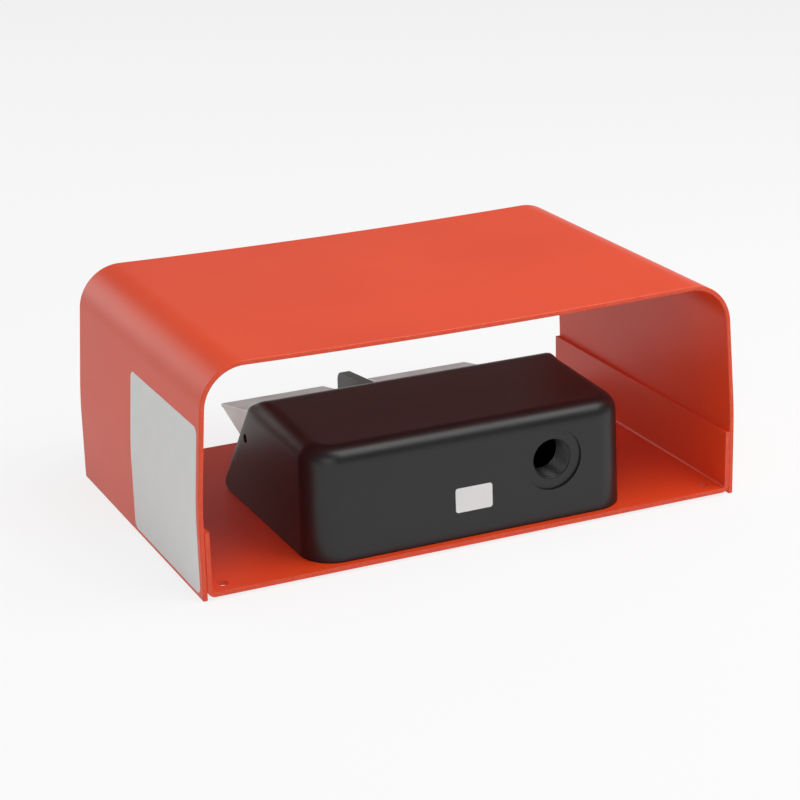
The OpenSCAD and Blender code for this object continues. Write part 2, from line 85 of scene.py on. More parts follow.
def gridPart(points, loopAlong=False):
    # points[i, j] is step i along and step j around: each ring closes on itself, and an open
    # end is closed by a fan to its middle; the faces are turned to point outwards
    along, around = points.shape[:2]
    i = np.arange(along if loopAlong else along - 1)[:, None]
    j = np.arange(around)[None, :]
    quads = np.stack([i * around + j, i * around + (j + 1) % around,
                      (i + 1) % along * around + (j + 1) % around, (i + 1) % along * around + j], -1)
    quads = quads.reshape(-1, 4)
    verts = points.reshape(-1, 3)
    tris = np.zeros((0, 3), int)
    if not loopAlong:
        count = along * around
        verts = np.vstack([verts, points[0].mean(0), points[-1].mean(0)])
        ring = np.arange(around)
        after = (ring + 1) % around
        last = count - around
        tris = np.vstack([np.stack([after, ring, np.full(around, count)], 1),
                          np.stack([last + ring, last + after, np.full(around, count + 1)], 1)])
    split = np.vstack([quads[:, :3], quads[:, [0, 2, 3]], tris])
    corners = verts[split] - verts.mean(0)
    if np.einsum("ij,ij->i", corners[:, 0], np.cross(corners[:, 1], corners[:, 2])).sum() < 0:
        quads, tris = quads[:, ::-1], tris[:, ::-1]
    return verts, quads, tris


def placed(part, turn=None, shift=(0, 0, 0)):
    # the same part, turned by a 3 x 3 matrix and moved
    verts, quads, tris = part
    return (verts if turn is None else verts @ np.array(turn).T) + np.array(shift), quads, tris


def meshFrom(name, parts):
    # joins the parts, given in millimetres, into one mesh
    offsets = np.cumsum([0] + [len(p[0]) for p in parts[:-1]])
    verts = np.vstack([p[0] for p in parts]) * mm
    quads = np.vstack([p[1] + o for p, o in zip(parts, offsets)]).reshape(-1, 4)
    tris = np.vstack([p[2] + o for p, o in zip(parts, offsets)]).reshape(-1, 3)
    mesh = bpy.data.meshes.new(name)
    mesh.vertices.add(len(verts))
    mesh.vertices.foreach_set("co", verts.ravel())
    mesh.loops.add(quads.size + tris.size)
    mesh.loops.foreach_set("vertex_index", np.concatenate([quads.ravel(), tris.ravel()]).astype(np.int32))
    mesh.polygons.add(len(quads) + len(tris))
    starts = np.concatenate([np.arange(len(quads)) * 4, quads.size + np.arange(len(tris)) * 3])
    mesh.polygons.foreach_set("loop_start", starts.astype(np.int32))
    mesh.update(calc_edges=True)
    mesh.validate()
    return mesh


def smooth(mesh, sharpAbove=35):
    mesh.polygons.foreach_set("use_smooth", np.ones(len(mesh.polygons), bool))
    mesh.set_sharp_from_angle(angle=math.radians(sharpAbove))


def objectFrom(name, mesh):
    obj = bpy.data.objects.new(name, mesh)
    bpy.context.scene.collection.objects.link(obj)
    return obj


def bake(obj):
    # the mesh as its modifiers leave it, with the modifiers taken off
    mesh = bpy.data.meshes.new_from_object(obj.evaluated_get(bpy.context.evaluated_depsgraph_get()))
    obj.modifiers.clear()
    obj.data = mesh
    return obj


def finish(obj, material, nodes, sharpAbove=35):
    # gives a piece its finish and its body, and takes the place of the CAD nodes it stands for
    smooth(obj.data, sharpAbove)
    obj.data.materials.clear()
    obj.data.materials.append(material)
    shade = obj.modifiers.new("evenShading", "WEIGHTED_NORMAL")  # keeps the big flat faces flat
    shade.keep_sharp = True
    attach(obj, bodyOf[nodes[0]])
    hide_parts(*nodes)
    return obj


def edgedCopy(node, name, width, segments=2, sharpAbove=35):
    # a copy of the CAD solid, welded, with its flat faces made whole and its edges broken
    mesh = frame["nodes"][node].data.copy()
    work = bmesh.new()
    work.from_mesh(mesh)
    bmesh.ops.remove_doubles(work, verts=work.verts, dist=2e-6)
    bmesh.ops.dissolve_limit(work, angle_limit=math.radians(0.6), verts=work.verts, edges=work.edges)
    work.to_mesh(mesh)
    work.free()
    obj = objectFrom(name, mesh)
    edge = obj.modifiers.new("edge", "BEVEL")
    edge.width = width * mm
    edge.segments = segments
    edge.limit_method = "ANGLE"
    edge.angle_limit = math.radians(sharpAbove)
    edge.miter_outer = "MITER_ARC"
    return bake(obj)


def turned(profile, around=48):
    # a lathe: points (radius, height) carried round the Z axis
    profile = np.array(profile, float)
    angle = np.linspace(0, 2 * np.pi, around, endpoint=False)
    return np.stack([profile[:, :1] * np.cos(angle), profile[:, :1] * np.sin(angle),
                     np.repeat(profile[:, 1:], around, 1)], -1)


def rounded(width, height, radius, steps=4):
    # a rectangle round the origin with its four corners rounded, as a closed run of points
    angle = np.linspace(0, np.pi / 2, steps + 1)
    corner = radius * np.stack([np.cos(angle), np.sin(angle)], 1)
    inner = np.array([width / 2 - radius, height / 2 - radius])
    quarter = corner + inner
    flipX, flipY = np.array([-1, 1]), np.array([1, -1])
    return np.vstack([quarter, quarter[::-1] * flipX, quarter * flipX * flipY, quarter[::-1] * flipY])


def linear(code):
    # an sRGB hex colour as the linear RGBA that Blender's sockets take
    value = np.array([int(code[k:k + 2], 16) for k in (1, 3, 5)]) / 255
    value = np.where(value <= 0.04045, value / 12.92, ((value + 0.055) / 1.055) ** 2.4)
    return (*value.tolist(), 1.0)


def addNode(tree, kind, settings=(), links=()):
    # adds one node; settings are attributes or input defaults, links join its inputs to outputs
    node = tree.nodes.new(kind)
    for key, value in dict(settings).items():
        if isinstance(key, str) and hasattr(node, key):
            setattr(node, key, value)
        else:
            node.inputs[key].default_value = value
    for key, output in dict(links).items():
        tree.links.new(output, node.inputs[key])
    return node


def newMaterial(name):
    material = bpy.data.materials.new(name)
    material.use_nodes = True
    tree = material.node_tree
    tree.nodes.clear()
    return material, tree


def surface(tree, shader):
    addNode(tree, "ShaderNodeOutputMaterial", {}, {"Surface": shader})


def powderCoat():
    # Polyester powder coat, sprayed and stoved on steel sheet: an even orange skin with a faint
    # orange-peel of about a millimetre, a fine grain, and a coarser speckle on the cut edges. The cut
    # edges are also painted a duller, darker orange as painted shade, where they face sideways.
    # edge is the cut edges' orange with painted shade in it; deep and colour are random tones of the coat
    look = {"colour": "#F8501F", "deep": "#E8431A", "edge": "#E2593A", "roughness": 0.42,
            "peel": 1.6, "grain": 0.55, "speckle": 0.8}
    material, tree = newMaterial("powderCoatOrange")
    where = addNode(tree, "ShaderNodeTexCoord").outputs
    peel = addNode(tree, "ShaderNodeTexNoise", {"Scale": 1 / (look["peel"] * mm), "Detail": 2.0},
                   {"Vector": where["Object"]})
    grain = addNode(tree, "ShaderNodeTexNoise", {"Scale": 1 / (look["grain"] * mm), "Detail": 1.0},
                    {"Vector": where["Object"]})
    speckle = addNode(tree, "ShaderNodeTexNoise", {"Scale": 1 / (look["speckle"] * mm), "Detail": 3.0},
                      {"Vector": where["Object"]})
    cloud = addNode(tree, "ShaderNodeTexNoise", {"Scale": 12.0, "Detail": 2.0}, {"Vector": where["Object"]})
    axes = addNode(tree, "ShaderNodeSeparateXYZ", {}, {"Vector": where["Normal"]})
    facing = addNode(tree, "ShaderNodeMath", {"operation": "ABSOLUTE"}, {0: axes.outputs["Y"]})
    cut = addNode(tree, "ShaderNodeMapRange", {"From Min": 0.6, "From Max": 0.9},
                  {"Value": facing.outputs[0]})
    body = addNode(tree, "ShaderNodeMix",
                   {"data_type": "RGBA", 6: linear(look["colour"]), 7: linear(look["deep"])},
                   {0: cloud.outputs["Fac"]})
    dots = addNode(tree, "ShaderNodeMapRange", {"From Min": 0.42, "From Max": 0.62},
                   {"Value": speckle.outputs["Fac"]})
    # the cut edges: a real speckle of two tones, both duller and darker than the faces as painted shade
    cutEdgeSpeckleAndPaintedShade = addNode(tree, "ShaderNodeMix",
                  {"data_type": "RGBA", 6: linear(look["deep"]), 7: linear(look["edge"])},
                  {0: dots.outputs[0]})
    colour = addNode(tree, "ShaderNodeMix", {"data_type": "RGBA"},
                     {0: cut.outputs[0], 6: body.outputs[2], 7: cutEdgeSpeckleAndPaintedShade.outputs[2]})
    height = addNode(tree, "ShaderNodeMath", {"operation": "MULTIPLY_ADD", 1: 0.35},
                     {0: grain.outputs["Fac"], 2: peel.outputs["Fac"]})
    depth = addNode(tree, "ShaderNodeMapRange", {"To Min": 0.10, "To Max": 0.9}, {"Value": cut.outputs[0]})
    bump = addNode(tree, "ShaderNodeBump", {"Distance": 0.12 * mm},
                   {"Height": height.outputs[0], "Strength": depth.outputs[0]})
    shader = addNode(tree, "ShaderNodeBsdfPrincipled", {"Roughness": look["roughness"], "IOR": 1.5},
                     {"Base Color": colour.outputs[2], "Normal": bump.outputs[0]})
    surface(tree, shader.outputs[0])
    return material


def satinEnamel():
    # Satin black enamel on a die casting: almost black, with a soft broad sheen and the faint
    # pebbling of the cast skin showing through it.
    look = {"colour": "#141416", "worn": "#1C1C1F", "roughness": 0.36, "pebble": 1.4}
    material, tree = newMaterial("satinBlackEnamel")
    where = addNode(tree, "ShaderNodeTexCoord").outputs
    pebble = addNode(tree, "ShaderNodeTexNoise", {"Scale": 1 / (look["pebble"] * mm), "Detail": 3.0},
                     {"Vector": where["Object"]})
    cloud = addNode(tree, "ShaderNodeTexNoise", {"Scale": 25.0, "Detail": 3.0}, {"Vector": where["Object"]})
    colour = addNode(tree, "ShaderNodeMix",
                     {"data_type": "RGBA", 6: linear(look["colour"]), 7: linear(look["worn"])},
                     {0: cloud.outputs["Fac"]})
    rough = addNode(tree, "ShaderNodeMapRange",
                    {"To Min": look["roughness"] - 0.04, "To Max": look["roughness"] + 0.05},
                    {"Value": cloud.outputs["Fac"]})
    bump = addNode(tree, "ShaderNodeBump", {"Strength": 0.12, "Distance": 0.1 * mm},
                   {"Height": pebble.outputs["Fac"]})
    shader = addNode(tree, "ShaderNodeBsdfPrincipled", {"IOR": 1.5},
                     {"Base Color": colour.outputs[2], "Roughness": rough.outputs[0],
                      "Normal": bump.outputs[0]})
    surface(tree, shader.outputs[0])
    return material


def platedSteel(name, colour, dull, roughness, streak):
    # Zinc plate on rolled or turned steel: a grey metal whose roughness wanders in cloudy
    # patches, with faint rolling lines a fraction of a millimetre apart.
    material, tree = newMaterial(name)
    where = addNode(tree, "ShaderNodeTexCoord").outputs
    cloud = addNode(tree, "ShaderNodeTexNoise", {"Scale": 60.0, "Detail": 4.0}, {"Vector": where["Object"]})
    stretch = addNode(tree, "ShaderNodeMapping", {"Scale": (0.04, 1.0, 1.0)}, {"Vector": where["Object"]})
    lines = addNode(tree, "ShaderNodeTexNoise", {"Scale": 1 / (streak * mm), "Detail": 2.0},
                    {"Vector": stretch.outputs[0]})
    tone = addNode(tree, "ShaderNodeMix", {"data_type": "RGBA", 6: linear(colour), 7: linear(dull)},
                   {0: cloud.outputs["Fac"]})
    rough = addNode(tree, "ShaderNodeMapRange", {"To Min": roughness - 0.06, "To Max": roughness + 0.08},
                    {"Value": cloud.outputs["Fac"]})
    bump = addNode(tree, "ShaderNodeBump", {"Strength": 0.10, "Distance": 0.05 * mm},
                   {"Height": lines.outputs["Fac"]})
    shader = addNode(tree, "ShaderNodeBsdfPrincipled", {"Metallic": 1.0},
                     {"Base Color": tone.outputs[2], "Roughness": rough.outputs[0],
                      "Normal": bump.outputs[0]})
    surface(tree, shader.outputs[0])
    return material


def mouldedPlastic(name, colour, shade, roughness, grain, ior=1.46):
    # Moulded plastic or rubber: an even colour with slight flow clouds and a fine tool grain.
    material, tree = newMaterial(name)
    where = addNode(tree, "ShaderNodeTexCoord").outputs
    cloud = addNode(tree, "ShaderNodeTexNoise", {"Scale": 90.0, "Detail": 3.0}, {"Vector": where["Object"]})
    tool = addNode(tree, "ShaderNodeTexNoise", {"Scale": 1 / (grain * mm), "Detail": 2.0},
                   {"Vector": where["Object"]})
    tone = addNode(tree, "ShaderNodeMix", {"data_type": "RGBA", 6: linear(colour), 7: linear(shade)},
                   {0: cloud.outputs["Fac"]})
    bump = addNode(tree, "ShaderNodeBump", {"Strength": 0.15, "Distance": 0.05 * mm},
                   {"Height": tool.outputs["Fac"]})
    shader = addNode(tree, "ShaderNodeBsdfPrincipled", {"Roughness": roughness, "IOR": ior},
                     {"Base Color": tone.outputs[2], "Normal": bump.outputs[0]})
    surface(tree, shader.outputs[0])
    return material


finishes = {
    "guard": powderCoat(),
    "cast": satinEnamel(),
    # the treadle grey is the plated metal's own, with a faint warm pink tint that is a painted reflection of
    # the orange guard
    "treadle": platedSteel("satinZincSheet", "#C9C2BF", "#B9B2AF", 0.38, 0.5),
    "divider": mouldedPlastic("greyGlassNylon", "#3B4340", "#333A38", 0.42, 0.7),
    "label": mouldedPlastic("whiteVinyl", "#EFEFEE", "#E9E9E8", 0.35, 0.9),
    "sheet": platedSteel("zincPlatedSheet", "#B6B8B6", "#9EA1A0", 0.40, 0.6),
    "screw": platedSteel("brightZincScrew", "#C4C6C4", "#AEB1AF", 0.28, 0.4),
    "spring": platedSteel("springWire", "#8E9193", "#7B7E80", 0.32, 0.4),
    "nylon": mouldedPlastic("naturalNylon", "#E4E0D4", "#DAD5C6", 0.45, 0.8),
    "rubber": mouldedPlastic("blackRubber", "#1B1B1B", "#232323", 0.75, 0.5, 1.5),
    "phenolic": mouldedPlastic("blackPhenolic", "#1E1F21", "#26272A", 0.40, 0.6),
    "plunger": mouldedPlastic("redAcetal", "#B22A20", "#A3231A", 0.35, 0.7),
    "brass": platedSteel("tinnedBrass", "#C9A85A", "#B5954A", 0.30, 0.4),
    "earth": platedSteel("greenPassivatedSteel", "#5E8F56", "#4A7A45", 0.38, 0.4),
}
print("finishes made:", len(finishes))


guardHood = {"sheet": 2.5, "shoulder": 23.2, "lean": 4.0, "fall": 1.3, "leanStart": 35.5,
             "leanRadius": 300.0, "edge": 0.7}


def foldedPath(start, heading, runs):
    # a walk of straight runs and arcs: each run is (length, turn, steps), headings in degrees
    points, headings = [np.array([start])], [np.array([heading])]
    here = np.array(start, float)
    for length, turn, steps in runs:
        share = np.arange(1, steps + 1) / steps
        a = math.radians(heading)
        b = a + np.radians(turn) * share
        if abs(turn) < 1e-6:
            step = np.outer(share * length, [math.cos(a), math.sin(a)])
        else:
            radius = length / math.radians(turn)
            step = radius * np.stack([np.sin(b) - math.sin(a), math.cos(a) - np.cos(b)], 1)
        points.append(here + step)
        headings.append(heading + turn * share)
        here = here + step[-1]
        heading += turn
    return np.vstack(points), np.concatenate(headings)


def hoodPart():
    # half of the fold from one foot to the middle, mirrored; a section as deep as the guard and
    # as thick as the sheet, with rounded corners, is carried along it and drawn in at the feet
    low, high = boxOf("guard_hood")
    g = guardHood
    lean, fall = math.radians(g["lean"]), math.radians(g["fall"])
    width, height, depth = high[0] - low[0], high[2], high[1] - low[1]
    turn = 90 - g["lean"] + g["fall"]
    wall = (height - g["shoulder"] * (1 - math.sin(lean)) - g["leanStart"]
            - g["leanRadius"] * math.sin(lean)) / math.cos(lean)
    shoulderX = width / 2 - g["leanRadius"] * (1 - math.cos(lean)) - wall * math.sin(lean)
    topX = shoulderX - g["shoulder"] * (math.cos(lean) + math.sin(fall))
    topR = topX / math.sin(fall)
    e = g["edge"]
    points, heads = foldedPath((width / 2, 0), 90, [
        (e * 0.3, 0, 1), (e * 0.7, 0, 2), (g["leanStart"] - e, 0, 4),
        (g["leanRadius"] * lean, g["lean"], 12), (wall, 0, 3),
        (g["shoulder"] * math.radians(turn), turn, 36), (topR * fall, -g["fall"], 10)])
    points = np.vstack([points, points[-2::-1] * [-1, 1]])
    heads = np.concatenate([heads, 360 - heads[-2::-1]])
    inward = np.stack([-np.sin(np.radians(heads)), np.cos(np.radians(heads))], 1)
    section = rounded(g["sheet"], depth, e, 5)
    section[:, 0] += g["sheet"] / 2
    # the feet: sections drawn in by a quarter round over the last part of the wall
    footStep = np.minimum(np.arange(len(points)), np.arange(len(points))[::-1])
    drawn = np.interp(footStep, [0, 1, 2, 3], [e, e * 0.28, e * 0.06, 0])
    middle = np.array([g["sheet"] / 2, 0])
    half = np.array([g["sheet"] / 2, depth / 2])
    scale = (half[None, :] - drawn[:, None]) / half[None, :]
    across = middle + (section[None] - middle) * scale[:, None]
    plane = points[:, None, :] + inward[:, None, :] * across[..., :1]
    grid = np.stack([plane[..., 0], across[..., 1], plane[..., 1]], -1)
    return gridPart(grid)


hood = objectFrom("guardHoodSheet", meshFrom("guardHoodSheet", [hoodPart()]))
finish(hood, finishes["guard"], ["guard_hood"], 50)
finish(edgedCopy("guard_tray", "guardTraySheet", 0.6, 3), finishes["guard"], ["guard_tray"], 50)
print("guard made")


casting = {"wall": 3.0, "height": 58.1, "rearCorner": 18.0, "taper": 1.0, "slope": 53.3, "topSlope": 2.8,
           "toe": 4.0, "edge": 0.5, "rearRound": 9.0, "frontRound": 11.0, "brow": 4.9, "toeMeet": 6.4,
           "roundFrom": -45.0, "roundOver": 117.0, "browBlend": 8.0,
           "openingLow": 28.0, "openingHigh": 53.6, "openingRear": 10.0, "slotWidth": 6.2, "pinHole": 2.4,
           "faceDiameter": 32.5, "faceCut": 1.6, "threadMajor": 21.2, "threadMinor": 19.2,
           "threadPitch": 1.814, "bossRadius": 15.0, "bossLength": 15.0}
castLow, castHigh = boxOf("housing")
castMiddle = (castLow[0] + castHigh[0]) / 2
castHalf = (castHigh[0] - castLow[0]) / 2
castTaper = math.tan(math.radians(casting["taper"]))
castSlope, castTop = math.radians(casting["slope"]), math.radians(casting["topSlope"])
toeY = castLow[1] + casting["toe"]
frontFoot = toeY - casting["toe"] / math.tan(castSlope / 2)


def frontAt(z):
    return frontFoot + (z - castLow[2]) / math.tan(castSlope)


def topAt(y):
    return castLow[2] + casting["height"] + (castHigh[1] - y) * math.tan(castTop)


def meet(a, b, radius):
    # two distances joined with a round between them
    corner = np.hypot(np.maximum(a + radius, 0), np.maximum(b + radius, 0))
    return np.minimum(-radius, np.maximum(a, b)) + corner


def castDistance(x, y, z, inset):
    # how far a point lies outside the casting, or outside its hollow when inset is the wall:
    # drafted sides and rear with round corners, a sloping front whose toe is round outside and
    # square inside, and a top that rises to the front, rounded more at the ends than behind
    c = casting
    rise = z - castLow[2]
    side = np.abs(x - castMiddle) - (castHalf - rise * castTaper - inset)
    rear = y - (castHigh[1] - rise * castTaper - inset)
    plan = meet(side, rear, c["rearCorner"] - inset)
    front = (frontAt(z) - y) * math.sin(castSlope) + inset
    ahead = meet(front, -rise, c["toeMeet"]) if inset == 0 else np.maximum(front, toeY + inset - y)
    wall = meet(plan, ahead, c["edge"])
    back = np.clip((y - c["roundFrom"]) / c["roundOver"], 0, 1)
    corner = c["frontRound"] + (c["rearRound"] - c["frontRound"]) * back - inset
    atFront = np.clip(0.5 + (front - plan) / c["browBlend"], 0, 1)
    top = (z - topAt(y)) * math.cos(castTop) + inset
    return meet(wall, top, corner + (c["brow"] - corner) * atFront)


def castOutline(z, inset):
    # the casting's outline at height z, drawn in by inset: a rectangle with round rear corners;
    # z and inset are columns, and the points crowd towards the corners at the front
    rise = z - castLow[2]
    half = castHalf - rise * castTaper - inset
    left, right = castMiddle - half, castMiddle + half
    rear = castHigh[1] - rise * castTaper - inset
    front = frontAt(z) + inset
    r = np.maximum(casting["rearCorner"] - rise * castTaper - inset, 0.05)
    crowd = np.array([0, 0.001, 0.0025, 0.005, 0.01, 0.02, 0.05, 0.12, 0.25])
    both = np.concatenate([crowd, [0.5], 1 - crowd[::-1]])
    oneEnd = np.concatenate([crowd * 1.6, [0.6, 0.8]])
    arc = np.linspace(0, np.pi / 2, 25)
    zero = np.zeros_like(z)

    def straight(x0, y0, x1, y1, share):
        return x0 + (x1 - x0) * share, y0 + (y1 - y0) * share

    parts = [straight(left, front, right, front, both[:-1]),
             straight(right, front, right, rear - r, oneEnd),
             (right - r + r * np.cos(arc), rear - r + r * np.sin(arc)),
             straight(right - r, rear, left + r, rear, np.linspace(0, 1, 12)[1:-1]),
             (left + r - r * np.sin(arc), rear - r + r * np.cos(arc)),
             straight(left, rear - r, left, front, 1 - oneEnd[:0:-1])]
    return tuple(np.concatenate([part[axis] + zero for part in parts], 1) for axis in (0, 1))


def castShell(inset, foot):
    # each ray runs from a point well inside to a sharp-edged block round the casting, and is cut
    # where the distance above is nought, found by halving; the rows lean with the sloping top
    top = topAt(castHigh[1])
    near = np.array([0, 0.15, 0.35, 0.6, 0.9, 1.3, 1.8, 2.4, 3.1, 3.9, 4.8, 5.8, 6.8, 8.0, 9.2, 10.4])
    flat = np.concatenate([near, [14.0, 25.0, 40.0]])
    heights = np.concatenate([np.full(len(flat), foot), foot + near[1:], [foot + 20, top - 20],
                              top - near[:0:-1], np.full(len(flat), top)])
    insets = np.concatenate([flat[::-1], np.zeros(2 * len(near)), flat])
    z, d = heights[:, None], insets[:, None]
    x1, y1 = castOutline(z, d)
    z1 = z + (castHigh[1] - y1) * math.tan(castTop) * (z - foot) / (top - foot)
    coreLow, coreHigh, coreInset = foot + 12, top - 15, 15
    z0 = np.clip(z1, coreLow, coreHigh)
    x0, y0 = castOutline(np.clip(z, coreLow, coreHigh), np.maximum(d, coreInset))
    low, high = np.zeros_like(x1), np.full_like(x1, 1.02)
    for _ in range(34):
        t = (low + high) / 2
        out = castDistance(x0 + (x1 - x0) * t, y0 + (y1 - y0) * t, z0 + (z1 - z0) * t, inset) > 0
        high, low = np.where(out, t, high), np.where(out, low, t)
    return np.stack([x0 + (x1 - x0) * low, y0 + (y1 - y0) * low, z0 + (z1 - z0) * low], -1)


def cut(obj, cutters):
    for cutter in cutters:
        step = obj.modifiers.new("cut", "BOOLEAN")
        step.operation = "DIFFERENCE"
        step.solver = "EXACT"
        step.object = cutter
    bake(obj)
    for cutter in cutters:
        bpy.data.objects.remove(cutter)
    return obj


def blockPart(low, high):
    # a plain block between two corners, as two rings
    x = np.array([low[0], high[0], high[0], low[0]])
    y = np.array([low[1], low[1], high[1], high[1]])
    return gridPart(np.stack([np.stack([x, y, np.full(4, z)], 1) for z in (low[2], high[2])]))


alongY = [[1, 0, 0], [0, 0, -1], [0, 1, 0]]  # turns a lathe's axis from +Z to -Y
alongX = [[0, 0, 1], [1, 0, 0], [0, 1, 0]]  # turns a lathe's axis from +Z to +X
mount = next(m for m in record["mounts"] if m["name"] == "cable_entry")
entryX, entryZ = mount["pos_m"][0] / mm, mount["pos_m"][2] / mm
shell = objectFrom("castHousing", meshFrom("castHousing", [gridPart(castShell(0, castLow[2]))]))
print("casting skin:", len(shell.data.polygons), "faces")

pinLow, pinHigh = boxOf("pivot_pin")
pinY, pinZ = (pinLow[1] + pinHigh[1]) / 2, (pinLow[2] + pinHigh[2]) / 2
leftLow, _ = boxOf("left_treadle")
_, rightHigh = boxOf("right_treadle")
dividerLow, dividerHigh = boxOf("treadle_divider")
gapX = (dividerLow[0] + dividerHigh[0]) / 2
faceY = castHigh[1] - casting["faceCut"]
openLow, openHigh = castLow[2] + casting["openingLow"], castLow[2] + casting["openingHigh"]
clear = 5.0  # how far a cutter runs past the surface it enters by


def roundCutter(radius, depth, around):
    # a straight drill of that radius, from before the surface to the depth
    return gridPart(turned([(radius, -clear), (radius, depth)], around))


entryMouth = (entryX, castHigh[1], entryZ)
treadleFront = -60  # in front of everything that the openings meet
slotLow, slotHigh = gapX - casting["slotWidth"] / 2, gapX + casting["slotWidth"] / 2
cutters = [objectFrom("c", meshFrom("c", [part])) for part in [
    gridPart(castShell(casting["wall"], castLow[2] - 2)),
    blockPart((leftLow[0] - 1.5, treadleFront, openLow),
              (rightHigh[0] + 1.2, casting["openingRear"], openHigh)),
    blockPart((slotLow, treadleFront, castLow[2] - 1), (slotHigh, casting["openingRear"], openHigh)),
    placed(roundCutter(casting["pinHole"], 2 * castHalf + clear, 40), alongX, (castLow[0], pinY, pinZ)),
    placed(roundCutter(casting["faceDiameter"] / 2, casting["faceCut"], 96), alongY, entryMouth),
    placed(roundCutter(casting["threadMajor"] / 2 + 0.25, 8, 96), alongY, entryMouth)]]
cut(shell, cutters)
edge = shell.modifiers.new("edge", "BEVEL")
edge.width, edge.segments, edge.limit_method, edge.angle_limit = 0.35 * mm, 2, "ANGLE", math.radians(40)
bake(shell)
finish(shell, finishes["cast"], ["housing"], 38)
print("casting cut:", len(shell.data.polygons), "faces")


def threadPart():
    # a collar round the bore: its inner wall is a ridge that climbs one pitch a turn, r = middle +
    # half the depth times a triangle wave of (distance / pitch - angle / turn), fading at the ends
    c = casting
    y = np.linspace(0, c["bossLength"] - 1.0, 120)
    angle = np.linspace(0, 2 * np.pi, 96, endpoint=False)
    phase = (y[:, None] / c["threadPitch"] - angle[None] / (2 * np.pi)) % 1
    wave = 1 - 4 * np.abs(phase - 0.5)
    fade = np.clip(y / 1.2, 0, 1)[:, None]
    major, minor = c["threadMajor"] / 2, c["threadMinor"] / 2
    inner = major + (-(major - minor) / 2 + (major - minor) / 2 * np.clip(wave * 1.25, -1, 1)) * fade
    neck = major + 0.2
    outer = np.array([(c["bossRadius"], y[-1]), (c["bossRadius"], 2.3), (neck, 2.3), (neck, 0.02)])
    radius = np.vstack([inner, np.repeat(outer[:, :1], 96, 1)])
    depth = np.concatenate([y, outer[:, 1]])[:, None]
    grid = np.stack([radius * np.cos(angle), radius * np.sin(angle), depth + 0 * radius], -1)
    return placed(gridPart(grid, loopAlong=True), alongY, (entryX, faceY, entryZ))


def bossParts():
    # four blind screw bosses, each turned from a profile that goes up its hole and down its side
    parts = []
    for low, high in solidBoxes("housing_screws"):
        x, y = (low[:2] + high[:2]) / 2
        foot = boxOf("base_plate")[1][2]
        rear = y > 30
        top = topAt(y) - casting["wall"] + 0.5 if rear else foot + 19
        hole = foot + 13
        profile = [(0.05, hole), (2.05, hole - 0.6), (2.05, foot + 0.3), (2.35, foot), (4.4, foot),
                   (4.6, foot + 0.3), (4.6, top - 0.4), (4.2, top), (0.05, top)]
        parts.append(placed(gridPart(turned(profile, 32)), None, (x, y, 0)))
    return parts


def ribParts():
    # three ribs under the top: a rounded bar section carried from the brow to the rear wall, its
    # top sunk into the casting's
    parts = []
    low = topAt(castHigh[1]) - casting["wall"] - 4
    rear = castHigh[1] - casting["wall"]
    sunk = casting["wall"] - 1
    stations = [(20, topAt(20) - sunk), (rear - 6, topAt(rear - 6) - sunk), (rear, low + 2)]
    for x in (castLow[0] + 40, gapX, castHigh[0] - 40):
        rings = []
        for y, high in stations:
            section = rounded(2.0, high - low, 0.4, 3) + [x, (low + high) / 2]
            rings.append(np.stack([section[:, 0], np.full(len(section), y), section[:, 1]], 1))
        parts.append(gridPart(np.stack(rings)))
    return parts


insideParts = [threadPart()] + bossParts() + ribParts()
inside = objectFrom("castBossesAndThread", meshFrom("castBossesAndThread", insideParts))
smooth(inside.data, 40)
inside.data.materials.append(finishes["cast"])
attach(inside, bodyOf["housing"])
print("bosses, ribs and thread made")


edged = {
    "left_treadle": ("leftTreadlePlate", "treadle", 0.45),
    "right_treadle": ("rightTreadlePlate", "treadle", 0.45),
    "treadle_divider": ("treadleDivider", "divider", 0.9), "base_plate": ("basePlate", "sheet", 0.3),
    "switch_bracket": ("switchBracket", "sheet", 0.25), "stop_bumpers": ("stopBumpers", "rubber", 0.4),
    "left_switch_case": ("leftSwitchCase", "phenolic", 0.25),
    "right_switch_case": ("rightSwitchCase", "phenolic", 0.25),
    "left_terminals": ("leftTerminals", "brass", 0.12), "right_terminals": ("rightTerminals", "brass", 0.12),
    "clinch_nuts": ("clinchNuts", "screw", 0.2), "pin_spacers": ("pinSpacers", "sheet", 0.2),
    "left_bushes": ("leftBushes", "nylon", 0.15), "right_bushes": ("rightBushes", "nylon", 0.15),
    "left_spring_seat": ("leftSpringSeat", "nylon", 0.3),
    "right_spring_seat": ("rightSpringSeat", "nylon", 0.3),
    "spring_posts": ("springPosts", "screw", 0.3), "pivot_pin": ("pivotPin", "screw", 0.4),
    "switch_nuts": ("switchNuts", "screw", 0.15),
}
for node, (name, look, width) in edged.items():
    finish(edgedCopy(node, name, width), finishes[look], [node])
kept = {"side_label": "label", "rear_label": "label", "left_plunger": "plunger", "right_plunger": "plunger",
        "housing_screws": "screw", "tray_screws": "screw", "divider_screws": "screw",
        "bracket_screws": "screw", "switch_screws": "screw", "earth_screw": "earth",
        "left_return_spring": "spring", "right_return_spring": "spring"}
for node, look in kept.items():
    mesh = frame["nodes"][node].data
    mesh.materials.clear()
    mesh.materials.append(finishes[look])
print("small parts finished")


